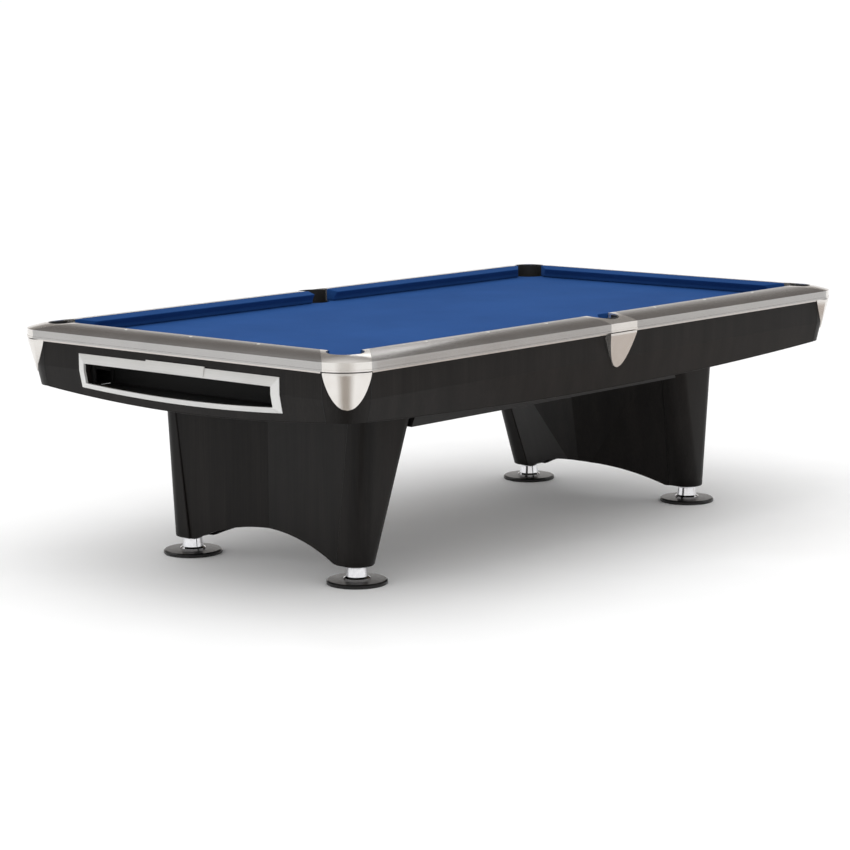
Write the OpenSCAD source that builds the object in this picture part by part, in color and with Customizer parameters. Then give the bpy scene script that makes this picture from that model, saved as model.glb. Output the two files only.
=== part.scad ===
// Nine-foot tournament pool table with a ball return, two pedestals and four screw feet.
// Lengths are in millimetres. The table stands on z = 0, is centred on the z axis, and its
// long side runs along x. The ball box opens at the front end, which faces -x.
// A rail is described by u, the distance outward from the cushion nose, and by its height
// above the cloth, so the same outline serves the long rails, the end rails and the corners.

/* [Playing field] */
// Length of the playing field, nose to nose
field_l = 2540; // [2000:10:2700]
// Width of the playing field, nose to nose
field_w = 1270; // [1000:10:1400]
// Height of the cloth above the floor
bed_h = 804; // [760:1:900]
// Height of the cushion nose above the cloth
nose_h = 36.5; // [34:0.5:38]
// Width of a cushion, from its nose to the rail cap
cushion_w = 50; // [42:1:60]
// Height of the back of a cushion above the cloth
cushion_back_h = 45.5; // [42:0.5:50]
// How far the rubber is undercut below the nose
undercut = 14; // [8:1:18]

/* [Pockets] */
// Mouth of a corner pocket between its jaw tips
corner_mouth = 117; // [100:1:130]
// Mouth of a side pocket between its jaw tips
side_mouth = 130; // [110:1:145]
// Angle of a corner pocket's jaw to the nose line
corner_cut = 142; // [135:1:150]
// Angle of a side pocket's jaw to the nose line
side_cut = 104; // [98:1:112]
// Radius of the hole in a corner pocket
corner_hole_r = 62; // [56:1:66]
// Radius of the hole in a side pocket
side_hole_r = 64; // [58:1:68]
// Offset of a corner hole's centre outward from the nose lines
corner_hole_out = 34; // [26:1:40]
// Offset of a side hole's centre outward from the nose line
side_hole_out = 65; // [60:1:70]
// Wall of a pocket liner
liner_wall = 4.5; // [3:0.5:8]
// Radius of the ball outlet under a pocket
outlet_r = 33; // [30:1:40]

/* [Rails] */
// Distance from the cushion nose to the outer face of a rail
rail_out = 170; // [160:1:200]
// Height of the rail cap's inner edge above the cloth
cap_h = 46; // [44:0.5:52]
// Radius of the crowned top of the rail cap
crown_r = 415; // [360:1:700]
// Wall of the aluminium rail cap
cap_wall = 5; // [3:0.5:8]
// Depth of the rail's lower lip below the cloth
lip_drop = 4; // [2:0.5:8]
// Height of the bead along the lip
bead_h = 6; // [3:0.5:9]
// How far the bead stands proud
bead_out = 2; // [1:0.5:4]
// Wall of the pocket castings
casting_wall = 6; // [4:0.5:9]
// Height of the hook along the inner edge of the rail cap
hook_h = 8; // [5:0.5:10]
// Outer radius of the table's corners in plan
corner_r = 138; // [118:1:144]
// Distance from the rail's square corner to the end of a corner casting
corner_seam = 112; // [100:1:116]
// Half width of a side casting at its outer face
side_casting_half = 77; // [72:1:90]
// Half width of a side casting at its inner edge
side_casting_inner = 98; // [92:1:120]
// Radius of a sight dot
sight_r = 6; // [4:0.5:8]

/* [Slate] */
// Thickness of the slate
slate_t = 29; // [19:1:45]
// Thickness of the bed cloth
cloth_t = 1; // [0.6:0.1:2]
// How far the slate runs out past the nose line
slate_out = 95; // [88:1:110]
// Gap between two slates
slate_gap = 0.5; // [0.2:0.1:2]
// Radius of a rail bolt
bolt_r = 5; // [4:0.5:6]
// Radius of a slate screw
screw_r = 3; // [2.5:0.5:4]
// How far a slate screw bites into the backing
screw_bite = 20; // [12:1:24]

/* [Cabinet] */
// Step in from the outer face of the rail to the face of the apron
apron_step = 28; // [16:1:36]
// Thickness of the aprons
apron_t = 20; // [12:1:28]
// Gap between the rail's lip and the trim on top of the apron
rail_gap = 4; // [2:0.5:8]
// Height of the trim on top of the apron
trim_h = 6; // [4:0.5:10]
// Depth from the top of the apron to the knee where it turns inward
knee_drop = 85; // [60:1:110]
// Depth from the top of the apron to its bottom edge at a corner
apron_corner_drop = 160; // [130:1:200]
// How much deeper the long aprons hang at their middle
side_sag = 35; // [10:1:60]
// How much deeper the end aprons hang at their middle
end_sag = 33; // [10:1:60]
// Inward slope of the apron below the knee, in degrees
tuck = 12.2; // [6:0.1:20]
// Depth of a corner shield below the trim's top
corner_shield_d = 122; // [80:1:140]
// Depth of a side shield below the trim's top
side_shield_d = 128; // [90:1:150]

/* [Ball box] */
// Half width of the ball box opening
box_half_w = 448; // [300:1:500]
// Height of the opening's top edge above the bottom corner of the apron
box_top = 100; // [90:1:110]
// Height of the opening at its ends
box_open_h = 70; // [64:1:74]
// How much lower the opening is at its middle
box_bow = 15; // [6:1:20]
// Width of the bezel's face at the top and the sides
bezel_w = 32; // [20:1:34]
// Width of the bezel's face at the bottom
bezel_low_w = 20; // [12:1:22]
// How far the bezel stands out of the apron
bezel_out = 10; // [6:1:14]
// How far the bezel's outer edge stands out of the apron
bezel_edge = 2; // [1:0.5:4]
// Depth of the ball box behind the apron
box_depth = 97; // [80:1:120]
// Length of the blank name plate
plate_l = 280; // [160:1:400]
// Thickness of the blank name plate
name_plate_t = 4; // [2:0.5:6]
// Wall of the ball box
box_wall = 12; // [8:1:16]
// Clear width of the ball channels
track_w = 104; // [90:1:104]
// Depth of the ball channels
track_depth = 40; // [30:1:45]
// Wall of the ball channels
track_wall = 3; // [2:0.5:4]
// How far a ball drops from a rear pocket's outlet to the channel
track_drop = 62; // [58:1:66]
// Number of lengths that a channel is made of
track_parts = 3; // [2:1:4]

/* [Pedestals] */
// Distance from the middle of the table to a pedestal's feet, along x
foot_x = 968; // [800:1:1050]
// Distance from the middle of the table to a pedestal's feet, along y
foot_y = 400; // [330:1:430]
// Height of the bottom of the legs
leg_bottom = 64; // [60:1:90]
// Height of the top of the legs
leg_top = 628; // [600:1:660]
// Radius of the rounded edges of a leg
leg_r = 60; // [50:1:70]
// How much wider a leg is at its top
leg_widen = 168; // [100:1:200]
// How far the top of a leg leans outward
leg_lean = 38; // [0:1:60]
// Inner edge of a leg at its bottom, measured inward from the foot's centre
seam_low = 43; // [30:1:50]
// Inner edge of a leg at its top, measured outward from the foot's centre
seam_high = 27; // [0:1:40]
// Thickness of the pedestal panels
panel_t = 18; // [12:1:25]
// How far the outer panels bend in at the middle
outer_fold = 46; // [10:1:70]
// How far the inner panels bulge at the bottom
inner_fold_low = 108; // [60:1:140]
// Height of the arch's top above the bottom of the legs
arch_rise = 77; // [40:1:140]
// Half width of the arch at its foot
arch_half = 340; // [260:1:345]

/* [Frame] */
// Height of the long beams
beam_h = 70; // [50:1:90]
// Width of the long beams
beam_w = 40; // [30:1:60]
// Distance from the middle of the table to the outer face of a long beam
beam_y = 480; // [430:1:500]
// Height of the bottom of the stretchers between the pedestals
stretcher_bottom = 520; // [500:1:580]
// Height of the cross beams
cross_h = 38; // [30:1:50]
// Thickness of the boards under the edges of the slates
backing_t = 26; // [18:1:30]

/* [Feet] */
// Radius of a foot pad
pad_r = 105; // [80:1:120]
// Thickness of a foot pad
pad_t = 16; // [10:1:20]
// Radius of the neck under the leg
neck_r = 34; // [28:1:40]
// Radius of the neck's flared base
neck_base_r = 46; // [40:1:60]
// Radius of the threaded stud
stud_r = 15; // [10:0.5:20]
// Length of the stud inside the leg
stud_l = 110; // [70:1:140]
// Running clearance of the stud and of the foot's pivot pin
run_fit = 0.05; // [0.02:0.01:0.1]
// Radius of the pivot pin on a pad
pin_r = 10; // [6:0.5:12]

/* [Hidden] */
$fn = 64;

// Half lengths of the playing field
half_l = field_l / 2;
half_w = field_w / 2;
// A small gap that keeps neighbouring pieces from touching
gap = 0.3;
// A margin by which cutters run past what they cut
over = 5;

// Heights of the cabinet, from the lip of the rail down
lip_z = bed_h - lip_drop;
trim_top_z = lip_z - rail_gap;
apron_top_z = trim_top_z - trim_h;
knee_z = apron_top_z - knee_drop;
apron_corner_z = apron_top_z - apron_corner_drop;

// Places along u
apron_u = rail_out - apron_step;
corner_u0 = rail_out - corner_r;
corner_cx = half_l + corner_u0;
corner_cy = half_w + corner_u0;
seam_half = corner_seam * sin(45);
trim_stop = max(apron_step + corner_seam - corner_r, 1) + 2;

// Crown of the rail cap, as a circle that passes through the cap's inner edge
crown_slope = 1;
crown_u = cushion_w - crown_r * sin(crown_slope);
crown_z = cap_h - crown_r * cos(crown_slope);

// Jaw geometry, from the mouth and the cut angle
corner_jaw = corner_mouth / sqrt(2);
corner_jaw_run = cushion_w / tan(180 - corner_cut);
side_jaw = side_mouth / 2;
side_jaw_run = cushion_w / tan(180 - side_cut);

// Slate levels
slate_top_z = bed_h - cloth_t;
slate_bottom_z = slate_top_z - slate_t;
backing_bottom_z = slate_bottom_z - backing_t;
funnel_h = 25;
cross_bottom_z = backing_bottom_z - cross_h;
beam_bottom_z = cross_bottom_z - beam_h;
plate_t = beam_bottom_z - leg_top;
slate_l = (2 * (half_l + slate_out)) / 3;

// Ball box opening
box_top_z = apron_corner_z + box_top;
box_low_z = box_top_z - box_open_h;
tuck_run = tan(tuck);

function quadrants() = [[1, 1], [1, -1], [-1, 1], [-1, -1]];

// Height at the middle of a chord of an arch, from its half width and its rise
function arch_radius(half, rise) = (half * half + rise * rise) / (2 * rise);

// ---------------------------------------------------------------- helpers

// Puts a piece drawn for the +x, +y quarter in any of the four quarters
module quarter(sx, sy) {
    mirror([sx < 0 ? 1 : 0, 0, 0]) mirror([0, sy < 0 ? 1 : 0, 0]) children();
}

// Sweeps a rail outline along x at the +y side, between two places
module long_bar(x0, x1) {
    translate([x0, half_w, bed_h]) rotate([90, 0, 90]) linear_extrude(x1 - x0) children();
}

// Sweeps a rail outline along y at the +x end, between two places
module end_bar(y0, y1) {
    translate([half_l, y1, bed_h]) rotate([90, 0, 0]) linear_extrude(y1 - y0) children();
}

// Turns the outer part of a rail outline round a corner
module corner_bend() {
    translate([corner_cx, corner_cy, bed_h]) rotate_extrude(angle = 90, $fn = 96)
        intersection() {
            translate([-corner_u0, 0]) children();
            translate([0, -400]) square([400, 800]);
        }
}

// Full outline of a rail: crowned top, flat fascia, bead along the lip
module rail_outline(wall = 0) {
    low = -lip_drop;
    intersection() {
        translate([crown_u, crown_z]) circle(r = crown_r - wall, $fn = 256);
        translate([cushion_w, low]) square([rail_out - cushion_w - wall, cap_h + lip_drop + over]);
    }
}

module bead_outline() {
    translate([rail_out - cap_wall, -lip_drop]) square([cap_wall + bead_out, bead_h]);
}

// Plan of the table out to a distance u, in the +x, +y quarter, with rounded corner
module corner_plan(u) {
    translate([corner_cx - 400, corner_cy - 400]) square([400, 400 + u - corner_u0]);
    translate([corner_cx - 400, corner_cy - 400]) square([400 + u - corner_u0, 400]);
    translate([corner_cx, corner_cy]) circle(r = u - corner_u0, $fn = 96);
}

// A bar on the diagonal of the +x, +y corner, as wide as the corner casting
module diagonal_bar(half, z0, z1) {
    translate([corner_cx, corner_cy, z0]) rotate([0, 0, 45])
        translate([-500, -half, 0]) cube([1000, 2 * half, z1 - z0]);
}

// Everything on the casting's side of a corner seam, for a long rail or an end rail
module past_seam(clear, long_rail) {
    reach = 1000;
    translate([corner_cx, corner_cy, lip_z - over]) rotate([0, 0, 45])
        translate([-reach / 2, long_rail ? seam_half + clear - reach : -seam_half - clear, 0])
            cube([reach, reach, 100]);
}

// Plan of a side casting, whose sides sweep out into two horns at the cushions
module side_plan(extra = 0) {
    y0 = half_w + cushion_w;
    y1 = half_w + rail_out + 10;
    sweep_y = 75;
    dx = side_casting_inner - side_casting_half;
    sweep_r = arch_radius(sweep_y, dx);
    difference() {
        translate([-side_casting_inner - extra, y0 - over])
            square([2 * (side_casting_inner + extra), y1 - y0 + over]);
        for (s = [-1, 1]) {
            translate([s * (side_casting_half + sweep_r), y0 + sweep_y])
                circle(r = sweep_r - extra, $fn = 128);
            translate([s > 0 ? side_casting_half + extra : -side_casting_half - extra - 60, y0 + sweep_y])
                square([60, y1 - y0]);
        }
    }
}

// Screws and bolts stand at these places, one list for the pieces and their holes
function long_bolts() = [for (k = [0.16, 0.5, 0.84])
    side_casting_inner + k * (corner_cx - 2 * side_casting_inner - 40)];
function end_bolts() = [for (k = [-0.72, 0, 0.72]) k * (corner_cy - 190)];
function bolt_places() = concat(
    [for (s = [-1, 1]) for (t = [-1, 1]) for (x = long_bolts()) [t * x, s * (half_w + 75)]],
    [for (s = [-1, 1]) for (y = end_bolts()) [s * (half_l + 75), y]]
);

module bolt_holes(r, z0, z1) {
    for (p = bolt_places()) translate([p[0], p[1], z0]) cylinder(r = r, h = z1 - z0);
}

module pocket_holes(grow, z0, z1) {
    for (q = quadrants()) quarter(q[0], q[1])
        translate([half_l + corner_hole_out, half_w + corner_hole_out, z0])
            cylinder(r = corner_hole_r + grow, h = z1 - z0);
    for (s = [-1, 1]) translate([0, s * (half_w + side_hole_out), z0])
        cylinder(r = side_hole_r + grow, h = z1 - z0);
}

// ---------------------------------------------------------------- feet

module foot_pad(sx, sy) {
    color([0.08, 0.08, 0.08]) translate([sx * foot_x, sy * foot_y, 0]) {
        rotate_extrude($fn = 96) polygon([
            [0, 0], [pad_r - 2, 0], [pad_r, 2], [pad_r, pad_t - 5], [pad_r - 5, pad_t - 1],
            [neck_base_r + 14, pad_t], [0, pad_t]
        ]);
        cylinder(r = pin_r, h = pad_t + 14);
    }
}

module foot_stem(sx, sy) {
    base = pad_t + gap;
    top = leg_bottom - 0.5;
    color([0.8, 0.8, 0.82]) translate([sx * foot_x, sy * foot_y, 0]) difference() {
        union() {
            rotate_extrude($fn = 96) polygon([
                [0, base], [neck_base_r, base], [neck_base_r, base + 4], [neck_r + 4, base + 10],
                [neck_r, top - 8], [neck_r, top], [0, top]
            ]);
            translate([0, 0, top - 1]) cylinder(r = stud_r, h = stud_l);
        }
        translate([0, 0, -1]) cylinder(r = pin_r + run_fit, h = pad_t + 16);
    }
}

// Threaded sleeves pressed up into the legs
module foot_nuts() {
    color([0.55, 0.55, 0.5]) for (q = quadrants()) translate([q[0] * foot_x, q[1] * foot_y, leg_bottom])
        difference() {
            cylinder(r = stud_r + 8, h = stud_l - 20);
            translate([0, 0, -over]) cylinder(r = stud_r + run_fit, h = stud_l + over);
        }
}

// ---------------------------------------------------------------- pedestals

// A leg in the +x, +y quarter: rounded outward, and wider and leaning outward at its top
module leg_body() {
    intersection() {
        hull() {
            translate([foot_x, foot_y, leg_bottom]) cylinder(r = leg_r, h = 1, $fn = 64);
            translate([foot_x - leg_r, foot_y - seam_low - 8, leg_bottom]) cube([2 * leg_r, 20, 1]);
            translate([foot_x, foot_y + leg_lean, leg_top - 1]) cylinder(r = leg_r, h = 1, $fn = 64);
            translate([foot_x - leg_widen, foot_y + leg_lean, leg_top - 1])
                cylinder(r = leg_r, h = 1, $fn = 64);
            translate([foot_x - leg_r - leg_widen, foot_y + seam_high - 8, leg_top - 1])
                cube([2 * leg_r + leg_widen, 16, 1]);
        }
        outward_of_seam(0);
    }
}

// Everything outward of the leaning seam between a leg and the panels
module outward_of_seam(clear) {
    seam_angle = atan((seam_low + seam_high) / (leg_top - leg_bottom));
    translate([foot_x - 450, foot_y - seam_low - clear, leg_bottom]) rotate([-seam_angle, 0, 0])
        translate([0, 0, -60]) cube([700, 400, 900]);
}

module leg(sx, sy) {
    color([0.16, 0.15, 0.15]) quarter(sx, sy) difference() {
        leg_body();
        translate([foot_x, foot_y, leg_bottom - over]) cylinder(r = stud_r + 8, h = stud_l - 20 + over);
        translate([foot_x, foot_y, leg_bottom]) cylinder(r = stud_r + 2, h = stud_l + 30);
    }
}

// The space between the two legs of the +x pedestal
module between_legs() {
    difference() {
        translate([foot_x - 400, -foot_y - 100, leg_bottom])
            cube([600, 2 * foot_y + 200, leg_top - leg_bottom]);
        for (s = [0, 1]) mirror([0, s, 0]) outward_of_seam(gap);
    }
}

module arch_cutter() {
    arch_r = arch_radius(arch_half, arch_rise);
    translate([foot_x - 450, 0, leg_bottom + arch_rise - arch_r]) rotate([0, 90, 0])
        cylinder(r = arch_r, h = 700, $fn = 128);
}

// Outer skin: two boards that meet at a shallow fold
module outer_panel(sx) {
    x0 = foot_x + leg_r - outer_fold;
    reach = foot_y + seam_high;
    color([0.17, 0.16, 0.16]) quarter(sx, 1) difference() {
        intersection() {
            translate([0, 0, leg_bottom]) linear_extrude(leg_top - leg_bottom) polygon([
                [x0, 0], [foot_x + leg_r - 2, reach], [foot_x + leg_r - 2 - panel_t, reach],
                [x0 - panel_t, 0], [foot_x + leg_r - 2 - panel_t, -reach], [foot_x + leg_r - 2, -reach]
            ]);
            between_legs();
        }
        arch_cutter();
    }
}

// Inner skin: two boards that bulge toward the middle of the table and lean with the legs
module inner_panel(sx) {
    low_x = foot_x - leg_r - inner_fold_low;
    high_x = foot_x - leg_r - leg_widen - 45;
    low_y = foot_y - seam_low;
    high_y = foot_y + seam_high;
    color([0.15, 0.14, 0.14]) quarter(sx, 1) difference() {
        intersection() {
            union() for (s = [0, 1]) mirror([0, s, 0]) hull() {
                translate([low_x, 0, leg_bottom]) cube([panel_t, 0.01, 1]);
                translate([high_x, 0, leg_top - 1]) cube([panel_t, 0.01, 1]);
                translate([foot_x - leg_r + 2, low_y - 1, leg_bottom]) cube([panel_t, 1, 1]);
                translate([foot_x - leg_r - leg_widen + 2, high_y - 1, leg_top - 1]) cube([panel_t, 1, 1]);
            }
            between_legs();
        }
        arch_cutter();
    }
}

// Top boards of the two pedestals, under the long beams
module pedestal_plates() {
    color([0.1, 0.1, 0.1]) for (sx = [-1, 1]) quarter(sx, 1)
        translate([foot_x - leg_r - leg_widen - 20, -foot_y - leg_lean - 50, leg_top])
            cube([leg_widen + 2 * leg_r + 5, 2 * (foot_y + leg_lean + 50), plate_t]);
}

// ---------------------------------------------------------------- frame

function cross_places() = concat(
    [for (s = [-1, 1]) s * (half_l - 80)],
    [for (s = [-1, 1]) s * (foot_x - 152)],
    [for (k = [-0.5, 0, 0.5]) k * slate_l]
);

module long_beams() {
    color([0.07, 0.07, 0.07]) for (s = [-1, 1])
        translate([-(half_l - 60), s > 0 ? beam_y - beam_w : -beam_y, beam_bottom_z])
            cube([2 * (half_l - 60), beam_w, beam_h]);
}

// Deep boards between the pedestals, just under the long beams
module stretchers() {
    leg_slope = leg_widen / (leg_top - leg_bottom);
    low_x = foot_x - leg_r - (stretcher_bottom - leg_bottom) * leg_slope;
    high_x = foot_x - leg_r - leg_widen - 22;
    color([0.06, 0.06, 0.06]) for (s = [-1, 1])
        translate([0, s > 0 ? beam_y : -beam_y + beam_w, 0]) rotate([90, 0, 0])
            linear_extrude(beam_w) polygon([
                [-high_x, beam_bottom_z], [-high_x, leg_top - 1], [-low_x, stretcher_bottom],
                [low_x, stretcher_bottom], [high_x, leg_top - 1], [high_x, beam_bottom_z]
            ]);
}

module cross_beams() {
    color([0.45, 0.36, 0.26]) for (x = cross_places())
        translate([x - 20, -(half_w - 20), cross_bottom_z]) cube([40, 2 * (half_w - 20), cross_h]);
}

// Boards glued under the edges and the joints of the slates
module slate_backing() {
    inner_y = half_w - 75;
    color([0.5, 0.4, 0.28]) difference() {
        union() {
            for (s = [-1, 1]) translate([-(half_l - 60), s > 0 ? inner_y : -inner_y - 60, backing_bottom_z])
                cube([2 * (half_l - 60), 60, backing_t]);
            for (x = cross_places()) translate([x - 45, -inner_y + gap, backing_bottom_z])
                cube([90, 2 * (inner_y - gap), backing_t]);
        }
        for (p = screw_places()) translate([p[0], p[1], slate_bottom_z - screw_bite])
            cylinder(r = screw_r, h = screw_bite + over);
    }
}

// ---------------------------------------------------------------- slates and cloth

function screw_places() = [for (x = [-slate_l / 2, slate_l / 2]) for (d = [-25, 25])
    for (y = [-half_w * 0.8, -half_w * 0.3, half_w * 0.3, half_w * 0.8]) [x + d, y]];

module slate(k) {
    x0 = -1.5 * slate_l + k * slate_l;
    color([0.33, 0.35, 0.37]) difference() {
        translate([x0 + (k > 0 ? slate_gap : 0), -(half_w + slate_out), slate_bottom_z])
            cube([slate_l - (k > 0 ? slate_gap : 0), 2 * (half_w + slate_out), slate_t]);
        pocket_holes(0, slate_bottom_z - over, slate_top_z + over);
        for (q = quadrants()) quarter(q[0], q[1])
            translate([half_l + corner_hole_out, half_w + corner_hole_out, slate_bottom_z - over])
                cube([200, 200, slate_t + 2 * over]);
        bolt_holes(bolt_r + 1, slate_bottom_z - over, slate_top_z + over);
        for (p = screw_places()) translate([p[0], p[1], 0]) {
            translate([0, 0, slate_bottom_z - over]) cylinder(r = screw_r + gap, h = slate_t + 2 * over);
            translate([0, 0, slate_top_z - 2 * screw_r]) cylinder(r = 2 * screw_r + gap, h = 20);
        }
    }
}

// Screws with sunk heads that pull the slate joints down on the backing
module slate_screws() {
    color([0.6, 0.6, 0.55]) for (p = screw_places()) translate([p[0], p[1], 0]) {
        translate([0, 0, slate_bottom_z - screw_bite + 1])
            cylinder(r = screw_r, h = screw_bite - 1 + slate_t - 2 * screw_r + 0.5);
        translate([0, 0, slate_top_z - 2 * screw_r]) cylinder(r = 2 * screw_r, h = 2 * screw_r - 0.5);
    }
}

module bed_cloth() {
    u = cushion_w - 2;
    color([0.16, 0.33, 0.58]) difference() {
        translate([-(half_l + u), -(half_w + u), slate_top_z])
            cube([2 * (half_l + u), 2 * (half_w + u), cloth_t]);
        pocket_holes(0, slate_top_z - over, bed_h + over);
    }
}

// ---------------------------------------------------------------- cushions

// Section of a cloth-covered cushion with its wooden sub-rail front
module cushion_outline() {
    polygon([
        [0, nose_h], [cushion_w, cushion_back_h], [cushion_w, gap], [undercut + 3, gap],
        [undercut, nose_h * 0.4], [1, nose_h - 4]
    ]);
}

// Long cushion of the +x, +y quarter, cut square to its jaws
module long_cushion() {
    x0 = side_jaw;
    x1 = half_l - corner_jaw;
    intersection() {
        long_bar(0, half_l) cushion_outline();
        translate([0, half_w - 20, bed_h - 10]) linear_extrude(100) polygon([
            [x0 + 20 / tan(180 - side_cut), 0], [x0 - side_jaw_run, cushion_w + 20],
            [x1 + corner_jaw_run, cushion_w + 20], [x1 - 20 / tan(180 - corner_cut), 0]
        ]);
    }
}

module end_cushion() {
    y1 = half_w - corner_jaw;
    back = 20 / tan(180 - corner_cut);
    intersection() {
        end_bar(-half_w, half_w) cushion_outline();
        translate([half_l - 20, 0, bed_h - 10]) linear_extrude(100) polygon([
            [0, y1 - back], [cushion_w + 20, y1 + corner_jaw_run],
            [cushion_w + 20, -y1 - corner_jaw_run], [0, -y1 + back]
        ]);
    }
}

module cushion_long(sx, sy) {
    color([0.14, 0.3, 0.55]) quarter(sx, sy) long_cushion();
}

module cushion_end(sx) {
    color([0.14, 0.3, 0.55]) quarter(sx, 1) end_cushion();
}

// ---------------------------------------------------------------- rails

// Section of a rail cap, hooked over the core along its inner edge
module cap_outline() {
    difference() {
        rail_outline();
        difference() {
            rail_outline(cap_wall);
            translate([0, -lip_drop - over]) square([cushion_w + cap_wall, 200]);
        }
        translate([cushion_w - over, -lip_drop - over])
            square([cap_wall + over + 1, cap_h - hook_h + lip_drop + over]);
    }
    bead_outline();
}

module sight_holes(r, depth, z_up) {
    for (k = [1, 2, 3]) translate([k * field_l / 8, half_w + cushion_w + 20, bed_h + cap_h - depth])
        cylinder(r = r, h = z_up);
}

module end_sight_holes(r, depth, z_up) {
    for (k = [-1, 0, 1]) translate([half_l + cushion_w + 20, k * field_w / 4, bed_h + cap_h - depth])
        cylinder(r = r, h = z_up);
}

module rail_cap_long(sx, sy) {
    color([0.62, 0.62, 0.61]) quarter(sx, sy) difference() {
        union() {
            long_bar(side_casting_half, corner_cx) cap_outline();
            corner_bend() cap_outline();
        }
        translate([0, 0, lip_z - over]) linear_extrude(100) side_plan(gap);
        past_seam(gap, true);
        sight_holes(sight_r + 0.05, 2, 20);
    }
}

module rail_cap_end(sx) {
    color([0.62, 0.62, 0.61]) quarter(sx, 1) difference() {
        union() {
            end_bar(-corner_cy, corner_cy) cap_outline();
            for (s = [0, 1]) mirror([0, s, 0]) corner_bend() cap_outline();
        }
        for (s = [0, 1]) mirror([0, s, 0]) past_seam(gap, false);
        end_sight_holes(sight_r + 0.05, 2, 20);
    }
}

// Small round sights let into the caps
module sights() {
    color([0.9, 0.9, 0.86]) {
        for (q = quadrants()) quarter(q[0], q[1]) sight_holes(sight_r, 2, 1.9);
        for (s = [-1, 1]) quarter(s, 1) end_sight_holes(sight_r, 2, 1.9);
    }
}

// Hardwood rail cores that fill the caps and bolt down on the slate
module core_outline() {
    u0 = cushion_w + gap;
    difference() {
        intersection() {
            translate([crown_u, crown_z]) circle(r = crown_r - cap_wall - gap, $fn = 256);
            translate([u0, -cloth_t + gap]) square([rail_out - cap_wall - gap - u0, cap_h + over]);
        }
        translate([0, cap_h - hook_h - gap]) square([cushion_w + cap_wall + 1 + gap, cap_h]);
    }
}

module rail_cores() {
    end_gap = 6;
    color([0.6, 0.47, 0.3]) difference() {
        union() {
            for (q = quadrants()) quarter(q[0], q[1]) difference() {
                long_bar(side_casting_inner + end_gap, corner_cx) core_outline();
                diagonal_bar(seam_half + end_gap, lip_z - over, lip_z + 100);
            }
            for (t = [-1, 1]) quarter(t, 1) difference() {
                end_bar(-corner_cy, corner_cy) core_outline();
                for (s = [0, 1]) mirror([0, s, 0])
                    diagonal_bar(seam_half + end_gap, lip_z - over, lip_z + 100);
            }
        }
        bolt_holes(bolt_r, bed_h - 20, bed_h + 25);
    }
}

// Bolts up through the slate into the rail cores, with a washer under each head
module rail_bolts() {
    color([0.55, 0.55, 0.52]) for (p = bolt_places()) translate([p[0], p[1], 0]) {
        translate([0, 0, slate_bottom_z - 10]) cylinder(r = bolt_r, h = 10 + slate_t + 20);
        translate([0, 0, slate_bottom_z - 2]) cylinder(r = 3 * bolt_r, h = 2 - 0.05);
        translate([0, 0, slate_bottom_z - 9]) cylinder(r = 9, h = 7.05, $fn = 6);
    }
}

// ---------------------------------------------------------------- pocket castings

// Rail outline carried round a corner, with a margin left off its top and outer face
module corner_block(wall) {
    long_bar(corner_cx - 250, corner_cx) rail_outline(wall);
    end_bar(corner_cy - 250, corner_cy) rail_outline(wall);
    corner_bend() rail_outline(wall);
}

module corner_bead() {
    long_bar(corner_cx - 250, corner_cx) bead_outline();
    end_bar(corner_cy - 250, corner_cy) bead_outline();
    corner_bend() bead_outline();
}

// Hollow casting with a ring round the hole and an open underside
module corner_casting(sx, sy) {
    hole_x = half_l + corner_hole_out;
    hole_y = half_w + corner_hole_out;
    color([0.78, 0.76, 0.72]) quarter(sx, sy) difference() {
        intersection() {
            union() {
                corner_block(0);
                corner_bead();
            }
            diagonal_bar(seam_half, lip_z - over, lip_z + 100);
        }
        translate([hole_x, hole_y, lip_z - over]) cylinder(r = corner_hole_r, h = 100);
        difference() {
            intersection() {
                corner_block(casting_wall);
                diagonal_bar(seam_half - casting_wall, lip_z - over, lip_z + 100);
            }
            translate([hole_x, hole_y, lip_z - over]) cylinder(r = corner_hole_r + casting_wall, h = 100);
            cube([half_l + cushion_w + casting_wall, half_w + cushion_w + casting_wall, lip_z + 100]);
        }
        translate([0, 0, lip_z - over]) linear_extrude(slate_top_z + gap - lip_z + over)
            corner_plan(rail_out - casting_wall - 1);
    }
}

module side_casting(sy) {
    color([0.78, 0.76, 0.72]) quarter(1, sy) difference() {
        intersection() {
            long_bar(-200, 200) {
                rail_outline();
                bead_outline();
            }
            translate([0, 0, lip_z - over]) linear_extrude(100) side_plan();
        }
        translate([0, half_w + side_hole_out, lip_z - over]) cylinder(r = side_hole_r, h = 100);
        difference() {
            long_bar(casting_wall - side_casting_half, side_casting_half - casting_wall)
                rail_outline(casting_wall);
            translate([0, half_w + side_hole_out, lip_z - over])
                cylinder(r = side_hole_r + casting_wall, h = 100);
            translate([-200, 0, 0]) cube([400, half_w + cushion_w + casting_wall, lip_z + 100]);
        }
        translate([-200, half_w, lip_z - over])
            cube([400, rail_out - casting_wall, slate_top_z + gap - lip_z + over]);
    }
}

// Black liners: an upright collar round the back of the hole and a funnel under the slate
module liner(hole_r, cut_angle) {
    r1 = hole_r - gap;
    r0 = r1 - liner_wall;
    low_z = slate_bottom_z - funnel_h;
    difference() {
        union() {
            translate([0, 0, slate_bottom_z]) cylinder(r = r1, h = bed_h + cap_h - 6 - slate_bottom_z);
            translate([0, 0, low_z])
                cylinder(r1 = outlet_r + liner_wall, r2 = r1, h = slate_bottom_z - low_z);
            translate([0, 0, low_z - 3]) cylinder(r = outlet_r + liner_wall, h = 3.01);
        }
        translate([0, 0, slate_bottom_z]) cylinder(r = r0, h = 200);
        translate([0, 0, low_z]) cylinder(r1 = outlet_r, r2 = r0, h = slate_bottom_z - low_z + 0.01);
        translate([0, 0, low_z - 20]) cylinder(r = outlet_r, h = 21);
        rotate([0, 0, cut_angle]) translate([-200, -200, slate_top_z - 2]) cube([200, 400, 200]);
    }
}

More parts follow.
